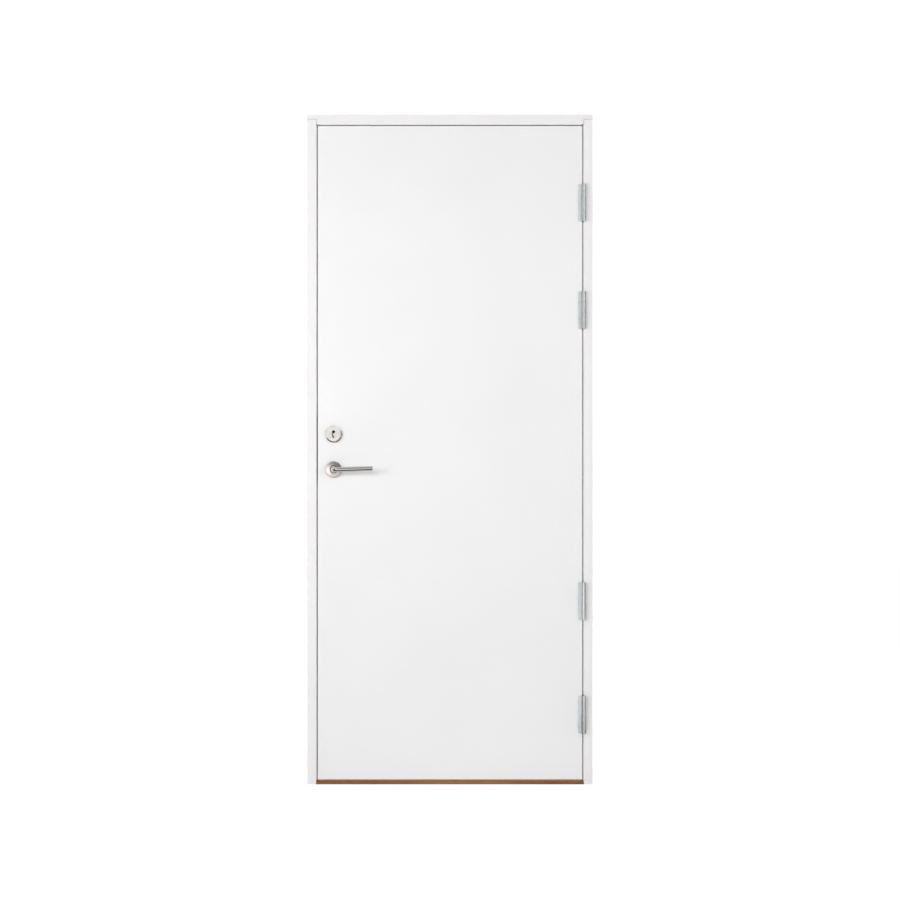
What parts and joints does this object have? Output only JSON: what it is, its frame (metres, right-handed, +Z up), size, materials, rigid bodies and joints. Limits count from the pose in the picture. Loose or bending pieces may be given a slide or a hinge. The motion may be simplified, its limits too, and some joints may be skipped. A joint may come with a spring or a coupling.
{
  "type": "fire door",
  "caption": "White single-leaf timber fire door closed in its rebated frame, with knuckle hinges, mortise lock, lever handles, key cylinders, smoke seal and oak threshold.",
  "frame": {"origin": "on the floor under the middle of the frame, at half the frame's depth", "axes": "+X from the lock side to the hinge side, +Y from the opening side through the wall, +Z up"},
  "size_m": [0.89, 0.1742, 2.09],
  "materials": {
    "painted_frame": "white factory paint, satin",
    "painted_leaf": "white factory paint, satin",
    "core_board": "pressed board, matt",
    "oak": "oiled oak",
    "seal_rubber": "matt",
    "swelling_strip": "matt",
    "lock_steel": "brushed",
    "zinc_steel": "bright zinc plate",
    "handle_steel": "satin stainless steel",
    "ring_nickel": "satin nickel"
  },
  "bodies": {
    "frame": {"frame_head": "painted_frame", "hinge_jamb": "painted_frame", "lock_jamb": "painted_frame", "threshold": "oak", "head_seal": "seal_rubber", "hinge_side_seal": "seal_rubber", "lock_side_seal": "seal_rubber", "threshold_seal": "seal_rubber", "strike_plate": "lock_steel", "hinge_1_frame_half": "zinc_steel", "hinge_2_frame_half": "zinc_steel", "hinge_3_frame_half": "zinc_steel", "hinge_4_frame_half": "zinc_steel"},
    "leaf": {"front_skin": "painted_leaf", "back_skin": "painted_leaf", "hinge_stile": "painted_leaf", "lock_stile": "painted_leaf", "top_rail": "painted_leaf", "bottom_rail": "painted_leaf", "leaf_core": "core_board", "hinge_edge_strip": "swelling_strip", "lock_edge_strip": "swelling_strip", "top_edge_strip": "swelling_strip", "lock_forend": "lock_steel", "lock_case": "zinc_steel", "latch_bolt": "lock_steel", "dead_bolt": "lock_steel", "front_rose": "handle_steel", "back_rose": "handle_steel", "front_cylinder_ring": "ring_nickel", "back_cylinder_ring": "ring_nickel", "front_cylinder": "ring_nickel", "back_cylinder": "ring_nickel", "hinge_1_leaf_half": "zinc_steel", "hinge_2_leaf_half": "zinc_steel", "hinge_3_leaf_half": "zinc_steel", "hinge_4_leaf_half": "zinc_steel"},
    "lever": {"front_lever": "handle_steel", "back_lever": "handle_steel", "spindle": "zinc_steel"}
  },
  "joints": [
    {"name": "leaf_swing", "type": "hinge", "parent": "frame", "child": "leaf", "pos_m": [0.417, -0.066, 1], "axis": [0, 0, 1], "range_deg": [0, 170]},
    {"name": "lever_turn", "type": "hinge", "parent": "leaf", "child": "lever", "pos_m": [-0.3625, -0.0315, 0.983], "axis": [0, 1, 0], "range_deg": [0, 45], "stiffness_Nm_per_rad": 2, "springref_deg": -22.92}
  ]
}
